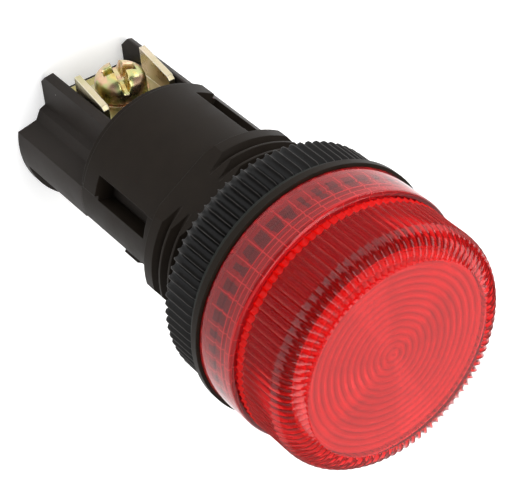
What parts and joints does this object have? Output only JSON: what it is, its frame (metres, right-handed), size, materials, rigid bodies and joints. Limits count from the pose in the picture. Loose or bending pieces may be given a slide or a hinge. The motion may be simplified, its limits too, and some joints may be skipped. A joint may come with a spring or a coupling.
{
  "type": "panel pilot light",
  "caption": "Round panel pilot light with a fluted red lens, ribbed locking nut, threaded black housing and two screw terminals at the back.",
  "frame": {"origin": "on the lamp's axis, in the plane of the panel's front face", "axes": "+Z along the axis towards the lens, +Y towards the upper terminal screw, +X to the right seen from the lens side"},
  "size_m": [0.028, 0.028, 0.0532],
  "materials": {
    "housing_plastic": "satin black moulded plastic",
    "block_plastic": "satin black moulded plastic",
    "gasket_rubber": "dull black rubber",
    "nut_plastic": "satin black moulded plastic",
    "red_lens": "clear red moulded plastic",
    "plated_brass": "yellow passivated plate",
    "clamp_steel": "yellow passivated zinc plate",
    "screw_steel": "yellow passivated zinc plate",
    "lamp_glass": "clear glass",
    "tinned_wire": "tinned wire",
    "grommet_rubber": "grey silicone rubber",
    "resistor_body": "lacquered resistor body",
    "sleeve_plastic": "off-white insulating tube"
  },
  "bodies": {
    "base": {"housing": "housing_plastic", "gasket": "gasket_rubber", "terminal_block": "block_plastic", "upper_terminal_strip": "plated_brass", "lower_terminal_strip": "plated_brass", "lamp_glass": "lamp_glass", "lamp_stem": "lamp_glass", "lamp_electrodes": "tinned_wire", "lamp_grommet": "grommet_rubber", "resistor": "resistor_body", "upper_lead": "tinned_wire", "lower_lead": "tinned_wire", "lamp_lead": "tinned_wire", "lead_sleeve": "sleeve_plastic"},
    "nut": {"locking_nut": "nut_plastic"},
    "lens_cap": {"lens": "red_lens"},
    "upper_saddle": {"upper_clamp": "clamp_steel", "upper_washer": "screw_steel"},
    "upper_screw_body": {"upper_screw": "screw_steel"},
    "lower_saddle": {"lower_clamp": "clamp_steel", "lower_washer": "screw_steel"},
    "lower_screw_body": {"lower_screw": "screw_steel"}
  },
  "joints": [
    {"name": "nut_slide", "type": "slide", "parent": "base", "child": "nut", "axis": [0, 0, -1], "range_m": [0, 0.0058]},
    {"name": "lens_turn", "type": "hinge", "parent": "base", "child": "lens_cap", "pos_m": [0, 0, 0], "axis": [0, 0, 1], "range_deg": [0, 720]},
    {"name": "upper_saddle_lift", "type": "slide", "parent": "base", "child": "upper_saddle", "axis": [0, 1, 0], "range_m": [0, 0.002]},
    {"name": "upper_screw_turn", "type": "hinge", "parent": "upper_saddle", "child": "upper_screw_body", "pos_m": [0, 0.0056, -0.0316], "axis": [0, 1, 0], "range_deg": [0, 1445]},
    {"name": "lower_saddle_lift", "type": "slide", "parent": "base", "child": "lower_saddle", "axis": [0, -1, 0], "range_m": [0, 0.002]},
    {"name": "lower_screw_turn", "type": "hinge", "parent": "lower_saddle", "child": "lower_screw_body", "pos_m": [0, -0.0056, -0.0316], "axis": [0, -1, 0], "range_deg": [0, 1445]}
  ],
  "couplings": [
    {"joint": "upper_screw_turn", "follows": "upper_saddle_lift", "rad_per_m": 12566},
    {"joint": "lower_screw_turn", "follows": "lower_saddle_lift", "rad_per_m": 12566}
  ]
}
